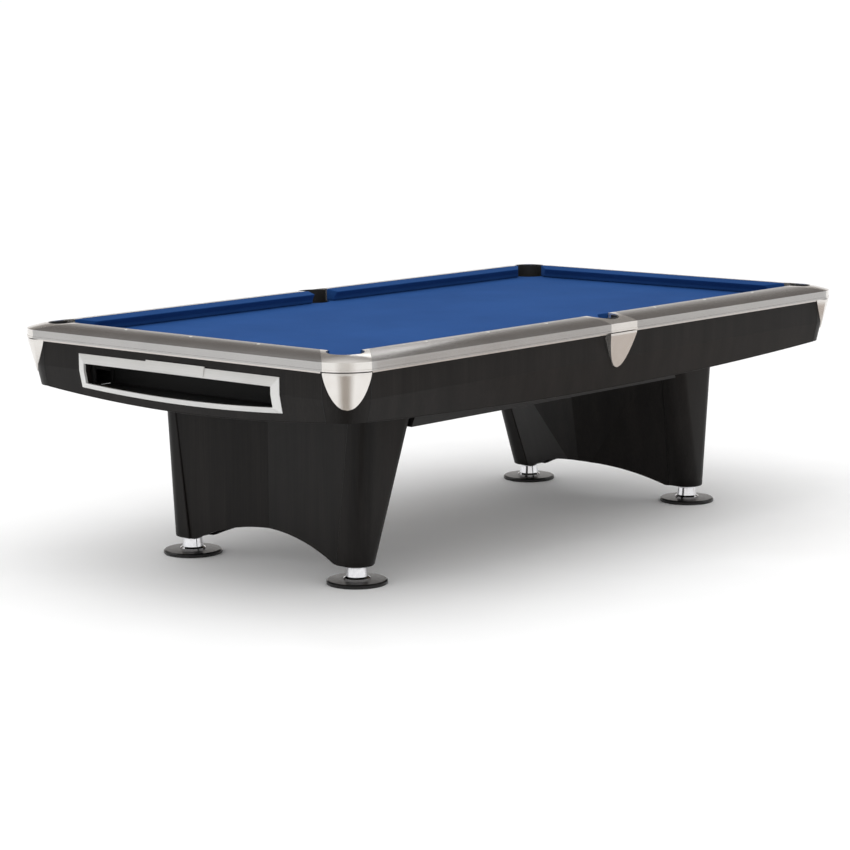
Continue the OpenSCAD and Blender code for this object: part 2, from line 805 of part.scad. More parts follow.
module pocket_liners() {
    color([0.03, 0.03, 0.03]) {
        for (q = quadrants()) quarter(q[0], q[1]) difference() {
            translate([half_l + corner_hole_out, half_w + corner_hole_out, 0]) liner(corner_hole_r, 45);
            translate([0, 0, slate_top_z - 2])
                cube([half_l + cushion_w + gap, half_w + cushion_w + gap, 200]);
        }
        for (s = [-1, 1]) quarter(1, s) difference() {
            translate([0, half_w + side_hole_out, 0]) liner(side_hole_r, 90);
            translate([-200, 0, slate_top_z - 2]) cube([400, half_w + cushion_w + gap, 200]);
        }
    }
}

// ---------------------------------------------------------------- cabinet

// Section of the apron below the trim, with its lower part turned in
module apron_outline(low_z) {
    low_u = apron_u - (knee_z - low_z) * tuck_run;
    translate([0, -bed_h]) polygon([
        [apron_u, apron_top_z], [apron_u, knee_z], [low_u, low_z], [low_u - apron_t, low_z],
        [apron_u - apron_t, knee_z], [apron_u - apron_t, apron_top_z]
    ]);
}

module side_apron(sy) {
    low_z = apron_corner_z - side_sag;
    arc_r = arch_radius(corner_cx, side_sag);
    color([0.18, 0.17, 0.17]) quarter(1, sy) difference() {
        intersection() {
            long_bar(-corner_cx + gap, corner_cx - gap) apron_outline(low_z - 5);
            translate([0, half_w - 50, low_z + arc_r]) rotate([-90, 0, 0])
                cylinder(r = arc_r, h = 400, $fn = 512);
        }
        translate([0, half_w + side_hole_out, slate_bottom_z - funnel_h - over])
            cylinder(r = side_hole_r + 2, h = 100);
    }
}

module end_apron_body() {
    low_z = apron_corner_z - end_sag;
    arc_r = arch_radius(corner_cy, end_sag);
    intersection() {
        end_bar(-corner_cy + gap, corner_cy - gap) apron_outline(low_z - 5);
        translate([half_l - 50, 0, low_z + arc_r]) rotate([0, 90, 0]) cylinder(r = arc_r, h = 400, $fn = 512);
    }
}

// The opening of the ball box, seen along x, with a lower edge bowed like the apron's
module box_shape(grow, low_grow) {
    half = box_half_w + grow;
    low = box_low_z - low_grow;
    bow_r = arch_radius(half, box_bow);
    intersection() {
        translate([-half, low - box_bow - 1]) square([2 * half, box_top_z + grow - low + box_bow + 1]);
        translate([0, low - box_bow + bow_r]) circle(r = bow_r, $fn = 512);
    }
}

module box_prism(x0, x1, grow, low_grow) {
    translate([x0, 0, 0]) rotate([90, 0, 90]) linear_extrude(x1 - x0) box_shape(grow, low_grow);
}

module end_apron(sx) {
    color([0.18, 0.17, 0.17]) if (sx > 0) end_apron_body();
    else difference() {
        mirror([1, 0, 0]) end_apron_body();
        box_prism(-half_l - 400, -half_l, 0, 0);
    }
}

// Four rounded posts that close the corners between the aprons
module apron_corners() {
    color([0.18, 0.17, 0.17]) for (q = quadrants()) quarter(q[0], q[1]) intersection() {
        corner_bend() apron_outline(apron_corner_z);
        translate([corner_cx, corner_cy, 0]) cube([500, 500, 1000]);
    }
}

// Bright trims along the top of the aprons, between the shields
module trim_outline() {
    translate([apron_u - apron_t, -lip_drop - rail_gap - trim_h]) square([apron_t + 3, trim_h]);
}

module apron_trims() {
    color([0.8, 0.8, 0.8]) {
        for (q = quadrants()) quarter(q[0], q[1])
            long_bar(side_casting_half + gap, corner_cx - trim_stop) trim_outline();
        for (s = [-1, 1]) quarter(s, 1)
            end_bar(-corner_cy + trim_stop, corner_cy - trim_stop) trim_outline();
    }
}

// Section of a shield: a wedge from under the casting's lip down to the apron
module shield_outline(depth) {
    tip_z = trim_top_z - depth;
    tip_u = apron_u - (knee_z - tip_z) * tuck_run;
    translate([0, -bed_h]) polygon([
        [apron_u + gap, trim_top_z], [rail_out - 1, trim_top_z], [rail_out - 1, trim_top_z - 8],
        [tip_u + 4, tip_z], [tip_u + gap, tip_z], [apron_u + gap, knee_z]
    ]);
}

// Face of a shield, seen square on, with a rounded tip
module shield_face(half, depth, power) {
    steps = 24;
    polygon(concat(
        [for (k = [0:steps]) let (t = k / steps) [half * sqrt(1 - pow(t, power)), -depth * t]],
        [for (k = [steps:-1:0]) let (t = k / steps) [-half * sqrt(1 - pow(t, power)), -depth * t]]
    ));
}

// Six shields under the castings: one round each corner and one at each side pocket
module shields() {
    color([0.8, 0.78, 0.74]) {
        for (q = quadrants()) quarter(q[0], q[1]) intersection() {
            union() {
                corner_bend() shield_outline(corner_shield_d);
                long_bar(corner_cx - trim_stop, corner_cx) shield_outline(corner_shield_d);
                end_bar(corner_cy - trim_stop, corner_cy) shield_outline(corner_shield_d);
            }
            translate([corner_cx, corner_cy, trim_top_z]) rotate([0, 0, 45]) rotate([90, 0, 90])
                translate([0, 0, -20]) linear_extrude(200) shield_face(seam_half, corner_shield_d, 1.35);
        }
        for (s = [-1, 1]) quarter(1, s) intersection() {
            long_bar(-side_casting_half, side_casting_half) shield_outline(side_shield_d);
            translate([0, half_w + 300, trim_top_z]) rotate([90, 0, 0])
                linear_extrude(250) shield_face(side_casting_half, side_shield_d, 1.2);
        }
    }
}

// ---------------------------------------------------------------- ball return

// Face of the bezel, highest along its inner edge and sloping back all round
module bezel_block() {
    face_x = -(half_l + apron_u);
    rim_x = face_x - bezel_out;
    edge_x = face_x - bezel_edge;
    back_x = face_x - gap;
    bow_r = arch_radius(box_half_w, box_bow);
    intersection() {
        rotate([90, 0, 0]) translate([0, 0, -1000]) linear_extrude(2000) polygon([
            [rim_x, box_low_z - 100], [rim_x, box_top_z], [edge_x, box_top_z + bezel_w],
            [back_x, box_top_z + bezel_w], [back_x, box_low_z - 100]
        ]);
        translate([0, 0, box_low_z - 100]) linear_extrude(300) polygon([
            [back_x, -box_half_w - bezel_w], [edge_x, -box_half_w - bezel_w], [rim_x, -box_half_w],
            [rim_x, box_half_w], [edge_x, box_half_w + bezel_w], [back_x, box_half_w + bezel_w]
        ]);
        translate([0, 0, box_low_z - box_bow + bow_r]) rotate([0, 90, 0]) rotate_extrude($fn = 720)
            polygon([
                [0, rim_x], [bow_r, rim_x], [bow_r + bezel_low_w, edge_x],
                [bow_r + bezel_low_w, back_x], [0, back_x]
            ]);
    }
}

// Frame of the ball box opening, bent at the knee so that its lower part follows the apron
module bezel() {
    face_x = -(half_l + apron_u);
    color([0.85, 0.86, 0.85]) difference() {
        union() {
            intersection() {
                bezel_block();
                translate([face_x - 100, -1000, knee_z]) cube([200, 2000, 200]);
            }
            intersection() {
                translate([face_x, 0, knee_z]) rotate([0, -tuck, 0]) translate([-face_x, 0, -knee_z])
                    bezel_block();
                translate([face_x - 100, -1000, knee_z - 200]) cube([200, 2000, 200]);
            }
        }
        box_prism(face_x - 50, face_x + 50, 0, 0);
    }
}

// Blank plate that rides on the bezel's top member and stands just above it
module name_plate() {
    rise = atan((bezel_out - bezel_edge) / bezel_w);
    plate_h = bezel_w / cos(rise);
    color([0.88, 0.88, 0.86]) translate([-(half_l + apron_u + bezel_out) - gap, 0, box_top_z])
        rotate([0, rise, 0]) translate([-name_plate_t, -plate_l / 2, 5])
            cube([name_plate_t, plate_l, plate_h]);
}

// Ball box behind the bezel: floor, back and two cheeks with a window for the balls
function ball_box_x() = -(half_l + apron_u - apron_t) + 17;

module ball_box() {
    x0 = ball_box_x();
    x1 = x0 + box_depth;
    z0 = box_low_z - box_bow;
    half = box_half_w + 2;
    window_x = 12;
    color([0.06, 0.06, 0.06]) {
        translate([x0, -half - box_wall, z0 - box_wall])
            cube([box_depth + box_wall, 2 * (half + box_wall), box_wall]);
        translate([x1, -half - box_wall, z0]) cube([box_wall, 2 * (half + box_wall), box_top_z - z0]);
        for (s = [-1, 1]) difference() {
            translate([x0, s > 0 ? half : -half - box_wall, z0]) cube([box_depth, box_wall, box_top_z - z0]);
            translate([x0 + window_x, -half - 100, z0 + 1])
                cube([box_depth - 2 * window_x + 4, 2 * half + 200, 66]);
        }
    }
}

// Sloping channel under the pockets of one long side, closed at its high end and made of
// several lengths that meet end to end
module channel(length) {
    difference() {
        translate([0, -track_w / 2 - track_wall, 0]) cube([length, track_w + 2 * track_wall, track_depth]);
        translate([-over, -track_w / 2, track_wall]) cube([length + over - track_wall, track_w, track_depth]);
        for (k = [1:track_parts - 1])
            translate([k * length / track_parts, -track_w, -over]) cube([gap, 2 * track_w, track_depth + 2 * over]);
    }
}

// Plan of a tray at the low end of a channel, with one corner cut off to turn the balls into
// the box, and with its open ends drawn out by a margin
module tray_plan(wall, x0, x1, x2, y0, y1, turn_y) {
    open = wall > 0 ? over : 0;
    cut_x = 38 - wall * 0.7;
    cut_y = 44 - wall * 0.7;
    polygon([
        [x0 + wall, y0 - open], [x0 + wall, y1 - wall - cut_y], [x0 + wall + cut_x, y1 - wall],
        [x2 + open, y1 - wall], [x2 + open, turn_y + wall], [x1 - wall, turn_y + wall], [x1 - wall, y0 - open]
    ]);
}

// Two channels along the sides, each ending in a tray beside the ball box
module ball_tracks() {
    track_y = half_w + 46;
    tray_z = box_low_z - box_bow + 1;
    z_front = tray_z + 2 * track_wall;
    z_rear = slate_bottom_z - funnel_h - track_wall - track_drop - track_wall;
    x0 = ball_box_x() + 7;
    x1 = ball_box_x() + box_depth + 5;
    x2 = x1 + 50;
    y0 = box_half_w + box_wall + 4;
    y1 = track_y + track_w / 2 + track_wall + 1;
    turn_y = track_y - track_w / 2 - 3 * track_wall;
    x_rear = half_l + corner_hole_out + 40;
    x_front = x2 - 15;
    slope = atan((z_rear - z_front) / (x_rear - x_front));
    color([0.05, 0.05, 0.05]) for (s = [-1, 1]) quarter(1, s) {
        translate([x_front, track_y, z_front]) rotate([0, -slope, 0])
            channel((x_rear - x_front) / cos(slope));
        translate([0, 0, tray_z]) difference() {
            linear_extrude(track_depth) tray_plan(0, x0, x1, x2, y0, y1, turn_y);
            translate([0, 0, track_wall]) linear_extrude(track_depth)
                tray_plan(track_wall, x0, x1, x2, y0, y1, turn_y);
        }
    }
}

// ---------------------------------------------------------------- assembly

foot_pad(-1, 1);  // foot_pad_front_left
foot_pad(-1, -1);  // foot_pad_front_right
foot_pad(1, 1);  // foot_pad_rear_left
foot_pad(1, -1);  // foot_pad_rear_right
foot_stem(-1, 1);  // foot_stem_front_left
foot_stem(-1, -1);  // foot_stem_front_right
foot_stem(1, 1);  // foot_stem_rear_left
foot_stem(1, -1);  // foot_stem_rear_right
foot_nuts();
leg(-1, 1);  // leg_front_left
leg(-1, -1);  // leg_front_right
leg(1, 1);  // leg_rear_left
leg(1, -1);  // leg_rear_right
outer_panel(-1);  // outer_panel_front
outer_panel(1);  // outer_panel_rear
inner_panel(-1);  // inner_panel_front
inner_panel(1);  // inner_panel_rear
pedestal_plates();
long_beams();
stretchers();
cross_beams();
slate_backing();
slate(0);  // slate_front
slate(1);  // slate_middle
slate(2);  // slate_rear
slate_screws();
bed_cloth();
cushion_end(-1);  // cushion_front
cushion_end(1);  // cushion_rear
cushion_long(-1, 1);  // cushion_left_front
cushion_long(1, 1);  // cushion_left_rear
cushion_long(-1, -1);  // cushion_right_front
cushion_long(1, -1);  // cushion_right_rear
rail_cap_end(-1);  // rail_cap_front
rail_cap_end(1);  // rail_cap_rear
rail_cap_long(-1, 1);  // rail_cap_left_front
rail_cap_long(1, 1);  // rail_cap_left_rear
rail_cap_long(-1, -1);  // rail_cap_right_front
rail_cap_long(1, -1);  // rail_cap_right_rear
rail_cores();
rail_bolts();
sights();
corner_casting(-1, 1);  // corner_casting_front_left
corner_casting(-1, -1);  // corner_casting_front_right
corner_casting(1, 1);  // corner_casting_rear_left
corner_casting(1, -1);  // corner_casting_rear_right
side_casting(1);  // side_casting_left
side_casting(-1);  // side_casting_right
shields();
side_apron(1);  // side_apron_left
side_apron(-1);  // side_apron_right
end_apron(-1);  // end_apron_front
end_apron(1);  // end_apron_rear
apron_corners();
apron_trims();
bezel();
name_plate();
ball_box();
ball_tracks();
pocket_liners();
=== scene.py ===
# Looks of a nine-foot pool table with a ball return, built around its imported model.
# Lengths are in metres. The table stands on z = 0 with its long side along x, and the ball
# box opens at the -x end. The sections follow the table from the floor up.
import math

import bmesh
import bpy
from mathutils import Matrix, Vector


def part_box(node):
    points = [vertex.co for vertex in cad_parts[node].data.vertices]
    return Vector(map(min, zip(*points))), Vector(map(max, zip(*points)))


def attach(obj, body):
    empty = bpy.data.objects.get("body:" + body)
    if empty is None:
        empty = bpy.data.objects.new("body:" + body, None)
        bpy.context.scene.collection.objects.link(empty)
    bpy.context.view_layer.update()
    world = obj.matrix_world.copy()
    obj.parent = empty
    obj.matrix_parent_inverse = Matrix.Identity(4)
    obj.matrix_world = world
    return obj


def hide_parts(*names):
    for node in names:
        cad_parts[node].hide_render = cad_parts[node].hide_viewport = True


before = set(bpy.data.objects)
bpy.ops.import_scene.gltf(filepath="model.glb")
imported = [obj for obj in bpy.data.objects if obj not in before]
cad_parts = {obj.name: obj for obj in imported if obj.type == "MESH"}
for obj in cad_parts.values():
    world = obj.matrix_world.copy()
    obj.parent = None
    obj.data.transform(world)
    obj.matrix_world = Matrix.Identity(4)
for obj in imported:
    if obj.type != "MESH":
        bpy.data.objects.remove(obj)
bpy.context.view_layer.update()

# ---------------------------------------------------------------- feet
# Four levelling feet: a spun steel pad in black gloss lacquer, and a chromed neck with a
# flared base, screwed up into a zinc-plated sleeve in the leg.


class Value:
    """A shader socket, on which sums add Math nodes."""

    def __init__(self, finish, socket):
        self.finish, self.socket = finish, socket

    def _math(self, operation, a, b=0.0):
        return self.finish.node("Math", {"operation": operation}, {0: a, 1: b})

    def __add__(self, other):
        return self._math("ADD", self, other)

    def __sub__(self, other):
        return self._math("SUBTRACT", self, other)

    def __rsub__(self, other):
        return self._math("SUBTRACT", other, self)

    def __mul__(self, other):
        return self._math("MULTIPLY", self, other)

    def __truediv__(self, other):
        return self._math("DIVIDE", self, other)

    def __pow__(self, other):
        return self._math("POWER", self, other)

    __radd__, __rmul__ = __add__, __mul__


class Finish:
    """A material: a Principled shader with its fixed values, and the nodes that vary it."""

    def __init__(self, name, **fixed):
        self.material = bpy.data.materials.new(name)
        self.material.use_nodes = True
        self.tree = self.material.node_tree
        self.shader = self.tree.nodes["Principled BSDF"]
        for key, value in fixed.items():
            self.shader.inputs[key.replace("_", " ")].default_value = value

    def node(self, kind, settings=None, sockets=None, out=0):
        made = self.tree.nodes.new("ShaderNode" + kind)
        for key, value in (settings or {}).items():
            if key == "stops":
                while len(made.color_ramp.elements) < len(value):
                    made.color_ramp.elements.new(1.0)
                for stop, (place, colour) in zip(made.color_ramp.elements, value):
                    stop.position, stop.color = place, (*colour, 1.0)
            else:
                setattr(made, key, value)
        for key, value in (sockets or {}).items():
            if isinstance(value, Value):
                self.tree.links.new(value.socket, made.inputs[key])
            else:
                made.inputs[key].default_value = value
        return Value(self, made.outputs[out])

    def noise(self, per_metre, detail=3.0, roughness=0.5):
        """Noise with this many features a metre along x, y and z."""
        where = self.node("TexCoord", out=3)
        spread = self.node("VectorMath", {"operation": "MULTIPLY"}, {0: where, 1: per_metre})
        return self.node("TexNoise", {}, {"Vector": spread, "Scale": 1.0, "Detail": detail,
                                          "Roughness": roughness})

    def tint(self, amount, *stops):
        return self.node("ValToRGB", {"stops": stops}, {"Fac": amount})

    def blend(self, amount, under, over):
        return self.node("Mix", {"data_type": "RGBA"}, {0: amount, 6: under, 7: over}, out=2)

    def vary(self, **links):
        for key, value in links.items():
            self.tree.links.new(value.socket, self.shader.inputs[key.replace("_", " ")])
        return self

    def bump(self, height, depth, strength=1.0):
        return self.vary(Normal=self.node("Bump", {}, {"Height": height, "Distance": depth,
                                                       "Strength": strength}))


def dress(finish, *names):
    """Gives CAD nodes, by the start of their names, a finish."""
    for name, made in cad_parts.items():
        if name.startswith(names):
            if not made.material_slots:
                made.data.materials.append(None)
            for place in made.material_slots:
                place.material = finish.material


pad_black = Finish("pad_black", Coat_Weight=0.35, Coat_Roughness=0.05, Specular_IOR_Level=0.25)
dust = pad_black.noise((70, 70, 70), 5)
pad_black.vary(Base_Color=pad_black.tint(dust, (0.35, (0.003, 0.003, 0.0035)), (0.8, (0.009, 0.0085, 0.008))),
               Roughness=0.22 + 0.25 * dust)
pad_black.bump(pad_black.noise((900, 900, 900), 2), 0.0002, 0.15)
dress(pad_black, "foot_pad")

chrome = Finish("foot_chrome", Metallic=1.0)
smudge = chrome.noise((55, 55, 40), 5, 0.6)
chrome.vary(Base_Color=chrome.tint(smudge, (0.3, (0.80, 0.80, 0.82)), (0.8, (0.62, 0.62, 0.64))),
            Roughness=0.04 + 0.12 * smudge)
dress(chrome, "foot_stem")

zinc = Finish("zinc_plate", Metallic=0.9)
spangle = zinc.noise((160, 160, 160), 3)
zinc.vary(Base_Color=zinc.tint(spangle, (0.3, (0.42, 0.43, 0.44)), (0.7, (0.66, 0.66, 0.62))),
          Roughness=0.28 + 0.25 * spangle)
dress(zinc, "foot_nuts", "slate_screws", "rail_bolts")

# ---------------------------------------------------------------- pedestals
# Each pedestal has four veneered boards folded to a shallow V and cut to an arch, and two
# legs bent from ply with rounded outer edges. The black-brown grain runs upright under satin
# lacquer, and the boards meet the legs in an open V joint.


def cabinet_wood(name, across=1.0):
    wood = Finish(name, Coat_Weight=0.08, Coat_Roughness=0.22, Specular_IOR_Level=0.10)
    figure = wood.noise((16 * across, 16 * across, 1.1), 4, 0.55)
    streak = wood.noise((240 * across, 240 * across, 3.5), 4, 0.6)
    pore = wood.noise((1300, 1300, 22), 2, 0.5)
    grain = figure * 0.45 + streak * 0.4 + pore * 0.15
    wood.vary(Base_Color=wood.tint(grain, (0.36, (0.0055, 0.0047, 0.0044)), (0.50, (0.0092, 0.0080, 0.0074)),
                                   (0.66, (0.0150, 0.0127, 0.0115))),
              Roughness=0.30 + 0.25 * streak)
    wood.bump(streak * 0.6 + pore * 0.4, 0.0006, 0.25)
    return wood


veneer = cabinet_wood("cabinet_wood")
dress(veneer, "outer_panel", "inner_panel", "side_apron", "end_apron", "apron_corners")


def outward(made):
    """Turns a mesh's faces outward."""
    shell = bmesh.new()
    shell.from_mesh(made)
    bmesh.ops.recalc_face_normals(shell, faces=shell.faces)
    shell.to_mesh(made)
    shell.free()


def piece(name, finish, points, faces, crease=35.0, body="table"):
    """A mesh piece, smooth apart from edges sharper than crease, that rides on a body."""
    shape = bpy.data.meshes.new(name)
    shape.from_pydata([tuple(p) for p in points], [], faces)
    outward(shape)
    shape.materials.append(finish.material)
    shape.shade_smooth()
    shape.set_sharp_from_angle(angle=math.radians(crease))
    made = bpy.data.objects.new(name, shape)
    bpy.context.scene.collection.objects.link(made)
    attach(made, body)
    return made


def loft(rings, closed=True, ends=True):
    """Points and faces of a skin through rings of equally many points."""
    n, points, faces = len(rings[0]), [p for ring in rings for p in ring], []
    for k in range(len(rings) - 1):
        for i in range(n if closed else n - 1):
            j = (i + 1) % n
            faces.append((k * n + i, k * n + j, (k + 1) * n + j, (k + 1) * n + i))
    if ends:
        faces += [tuple(range(n)), tuple(range((len(rings) - 1) * n, len(rings) * n))]
    return points, faces


leg_round, leg_spread, leg_lean = 0.060, 0.168, 0.038
seam_low, seam_high = 0.043, 0.027
seam_soft = 0.0025


def leg_ring(t, z, draw_in=0.0):
    """Outline of a leg of the +x, +y quarter, a fraction t of the way up."""
    low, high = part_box("foot_stem_rear_left")
    x, y = (low.x + high.x) / 2, (low.y + high.y) / 2 + leg_lean * t
    seam = y - leg_lean * t - seam_low + (seam_low + seam_high) * t
    r, inner = leg_round - draw_in, x - leg_spread * t
    ring = [(x + r - seam_soft, seam), (x + r, seam + seam_soft)]
    ring += [(x + r * math.cos(a), y + r * math.sin(a)) for a in [math.pi / 2 * k / 14 for k in range(15)]]
    ring += [(inner - r * math.sin(a), y + r * math.cos(a)) for a in [math.pi / 2 * k / 14 for k in range(15)]]
    ring += [(inner - r, seam + seam_soft), (inner - r + seam_soft, seam)]
    return [(px, py, z) for px, py in ring]


def mirrored(points, along, across):
    return [(p[0] * along, p[1] * across, p[2]) for p in points]


leg_low, leg_high = (corner.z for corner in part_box("leg_rear_left"))
for end, along in (("front", -1), ("rear", 1)):
    for side, across in (("left", 1), ("right", -1)):
        rings = [leg_ring(0, leg_low, 0.004), leg_ring(0, leg_low + 0.001, 0.0015), leg_ring(0.005, leg_low + 0.004)]
        rings += [leg_ring(k / 12, leg_low + (leg_high - leg_low) * k / 12) for k in range(1, 13)]
        points, faces = loft(rings)
        leg = piece(f"bent_leg_{end}_{side}", veneer, mirrored(points, along, across), faces)
        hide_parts(f"leg_{end}_{side}")

# ---------------------------------------------------------------- frame
# The pedestals' top boards, the long beams and the deep stretchers are painted black. The
# cross beams, the slate backing and the rail cores are sawn timber, glued and screwed.

black_timber = Finish("black_timber")
brushed = black_timber.noise((4, 160, 160), 4, 0.6)
black_timber.vary(Base_Color=black_timber.tint(brushed, (0.3, (0.004, 0.004, 0.004)), (0.8, (0.020, 0.019, 0.018))),
                  Roughness=0.45 + 0.3 * brushed)
black_timber.bump(brushed, 0.0008, 0.4)
dress(black_timber, "pedestal_plates", "long_beams", "stretchers")

sawn = Finish("frame_timber")
rings = sawn.noise((7, 7, 60), 4, 0.6)
fibre = sawn.noise((20, 420, 420), 3, 0.6)
sawn.vary(Base_Color=sawn.tint(rings * 0.7 + fibre * 0.3, (0.35, (0.30, 0.19, 0.10)), (0.55, (0.46, 0.32, 0.18)),
                               (0.7, (0.56, 0.42, 0.26))),
          Roughness=0.6 + 0.25 * fibre)
sawn.bump(fibre, 0.0006, 0.5)
dress(sawn, "cross_beams", "slate_backing", "rail_cores")

# ---------------------------------------------------------------- slates
# Three honed slates, bolted under the rails and screwed to their backing at the joints.

slate = Finish("honed_slate")
bed = slate.noise((5, 5, 40), 6, 0.6)
fleck = slate.noise((380, 380, 380), 3, 0.6)
slate.vary(Base_Color=slate.tint(bed * 0.7 + fleck * 0.3, (0.3, (0.045, 0.050, 0.055)), (0.7, (0.12, 0.125, 0.13))),
           Roughness=0.5 + 0.25 * fleck)
slate.bump(fleck, 0.0003, 0.3)
dress(slate, "slate_front", "slate_middle", "slate_rear")

# ---------------------------------------------------------------- bed cloth
# Worsted cloth with a fine nap, stretched over the slates, held under the rails, and pulled
# down over the slate's edge at each pocket. Play leaves faint tracks and chalk.

cloth_edge, cloth_turn, cloth_drop = 0.048, 0.005, 0.030
field = Vector((2.540, 1.270)) / 2
corner_hole = Vector((field.x + 0.034, field.y + 0.034, 0.0620))
side_hole = Vector((0, field.y + 0.065, 0.0640))


def worsted(name, low, high):
    cloth = Finish(name, Sheen_Weight=0.02, Sheen_Roughness=0.45, Specular_IOR_Level=0.02)
    cloth.shader.inputs["Sheen Tint"].default_value = (0.3, 0.45, 0.7, 1)
    wear = cloth.noise((3.2, 3.2, 3.2), 5, 0.55)
    nap = cloth.noise((900, 1500, 1200), 3, 0.7)
    weave = cloth.noise((2400, 2400, 2400), 1, 0.5)
    cloth.vary(Base_Color=cloth.tint(wear * 0.35 + nap * 0.45 + weave * 0.2, (0.35, low), (0.65, high)),
               Roughness=0.80 + 0.18 * nap)
    cloth.bump(nap * 0.6 + weave * 0.4, 0.0005, 0.35)
    return cloth


bed_cloth = worsted("bed_cloth", (0.0145, 0.054, 0.182), (0.0215, 0.077, 0.246))
cloth_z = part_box("bed_cloth")[1].z


def bite(centre, radius, start, stop, steps):
    """Points of a pocket's edge in the cloth, from one angle to another."""
    angles = [start + (stop - start) * k / steps for k in range(steps + 1)]
    return [(centre[0] + radius * math.cos(a), centre[1] + radius * math.sin(a)) for a in angles]


edge_x, edge_y = field.x + cloth_edge, field.y + cloth_edge
meet = math.acos((cloth_edge - 0.034) / corner_hole.z)
lean = math.asin((side_hole.y - edge_y) / side_hole.z)
outline, pockets = [], []
for k, (along, across) in enumerate(((1, 1), (-1, 1), (-1, -1), (1, -1))):
    arc = bite((corner_hole.x, corner_hole.y), corner_hole.z, -meet, meet - 1.5 * math.pi, 40)
    arc = [(x * along, y * across) for x, y in (arc if along * across > 0 else arc[::-1])]
    pockets.append((len(outline), len(arc), corner_hole.x * along, corner_hole.y * across))
    outline += arc
    if k in (0, 2):
        arc = bite((0, side_hole.y * across), side_hole.z, -lean * across, (lean - math.pi) * across, 30)
        pockets.append((len(outline), len(arc), 0, side_hole.y * across))
        outline += arc
top = bmesh.new()
rim = [top.verts.new((x, y, cloth_z)) for x, y in outline]
bmesh.ops.triangle_fill(top, use_beauty=True, edges=[top.edges.new((rim[k - 1], rim[k])) for k in range(len(rim))])
flat_top = len(top.faces)
for start, count, x, y in pockets:
    above = rim[start:start + count]
    for k in range(1, 9):
        turn = min(k, 6) / 6 * math.pi / 2
        inward = cloth_turn * math.sin(turn)
        z = cloth_z - cloth_turn * (1 - math.cos(turn)) - (cloth_drop - cloth_turn) * max(k - 6, 0) / 2
        below = []
        for v in rim[start:start + count]:
            reach = Vector((v.co.x - x, v.co.y - y))
            spot = Vector((x, y)) + reach * (1 - inward / reach.length)
            below.append(top.verts.new((spot.x, spot.y, z)))
        for a, b, c, d in zip(above, above[1:], below[1:], below):
            top.faces.new((a, b, c, d))
        above = below
bmesh.ops.recalc_face_normals(top, faces=top.faces)
cloth_mesh = bpy.data.meshes.new("stretched_cloth")
top.to_mesh(cloth_mesh)
cloth_area = sum(f.calc_area() for f in top.faces)
top.free()
cloth_mesh.materials.append(bed_cloth.material)
for k, face in enumerate(cloth_mesh.polygons):
    face.use_smooth = k >= flat_top
stretched = bpy.data.objects.new("stretched_cloth", cloth_mesh)
bpy.context.scene.collection.objects.link(stretched)
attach(stretched, "table")
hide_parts("bed_cloth")

# ---------------------------------------------------------------- cushions
# Six rubber cushions with a rounded nose, undercut below it, wrapped in the bed's cloth. The
# cloth is drawn tight over the top, tucked in a groove at the rail, and folded at the jaws.

# The cushions' cloth is the bed's cloth painted darker: painted shade on the cushions' upright faces.
shaded_cushion_cloth = worsted("shaded_cushion_cloth", (0.0105, 0.042, 0.145), (0.0165, 0.062, 0.200))
cushion_section = [(0.0497, 0.0434), (0.0488, 0.0448), (0.0470, 0.0453), (0.0420, 0.0450), (0.0340, 0.0438),
                   (0.0240, 0.0418), (0.0140, 0.0397), (0.0070, 0.0383), (0.0030, 0.0375), (0.0010, 0.0370),
                   (0.0002, 0.0362), (0.0001, 0.0352), (0.0009, 0.0338), (0.0028, 0.0308), (0.0060, 0.0262),
                   (0.0095, 0.0212), (0.0125, 0.0168), (0.0143, 0.0135), (0.0152, 0.0090), (0.0165, 0.0030),
                   (0.0185, 0.0012), (0.0230, 0.0010), (0.0497, 0.0010)]
corner_jaw, corner_run = 0.0827, 0.0640
side_jaw, side_run = 0.0650, 0.0125
cushion_width, jaw_soft = 0.050, 0.004
section_mid = (sum(u for u, h in cushion_section) / len(cushion_section),
               sum(h for u, h in cushion_section) / len(cushion_section))


def cushion(name, first, last, put):
    """first and last give a jaw's place and its run back over the cushion's width."""
    length = last[0] - first[0]
    stations = [(0, s / 5) for s in range(5)] + [(k / 24, 1) for k in range(25)] + [(1, 1 - s / 5) for s in range(1, 6)]
    rings = []
    for t, full in stations:
        ease = math.pi / 2 * full
        shrink = 1 - (1 - math.sin(ease)) * 0.16
        ring = []
        for i, (u, h) in enumerate(cushion_section):
            u, h = (m + (c - m) * shrink for c, m in zip((u, h), section_mid))
            slack = 0.00018 * math.sin(length * t * 41 + i * 1.3) * math.sin(math.pi * t)
            fold = 0.0006 * math.sin(i * 1.9) * (1 - min(1, min(t, 1 - t) * 30)) if i > 12 else 0
            start, stop = (jaw[0] + jaw[1] * u / cushion_width for jaw in (first, last))
            draw_in = {0: 1, 1: -1}.get(t, 0) * jaw_soft * (1 - math.cos(ease))
            ring.append(put(start + (stop - start) * t + draw_in, max(u, 0.0), h + slack + fold))
        rings.append(ring)
    points, faces = loft(rings)
    made = piece("soft_" + name, shaded_cushion_cloth, points, faces, 60)
    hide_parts(name)


for side, across in (("left", 1), ("right", -1)):
    for end, along in (("front", -1), ("rear", 1)):
        cushion(f"cushion_{side}_{end}", (side_jaw, -side_run), (field.x - corner_jaw, corner_run),
                lambda s, u, h: (s * along, (field.y + u) * across, cloth_z + h))
for end, along in (("front", -1), ("rear", 1)):
    cushion(f"cushion_{end}", (corner_jaw - field.y, -corner_run), (field.y - corner_jaw, corner_run),
            lambda s, u, h: ((field.x + u) * along, s, cloth_z + h))

# ---------------------------------------------------------------- rails
# Crowned rail caps of extruded aluminium, satin anodised, with a bright bead along the lip
# and pearl sight dots. The extrusion leaves fine lines along each rail.


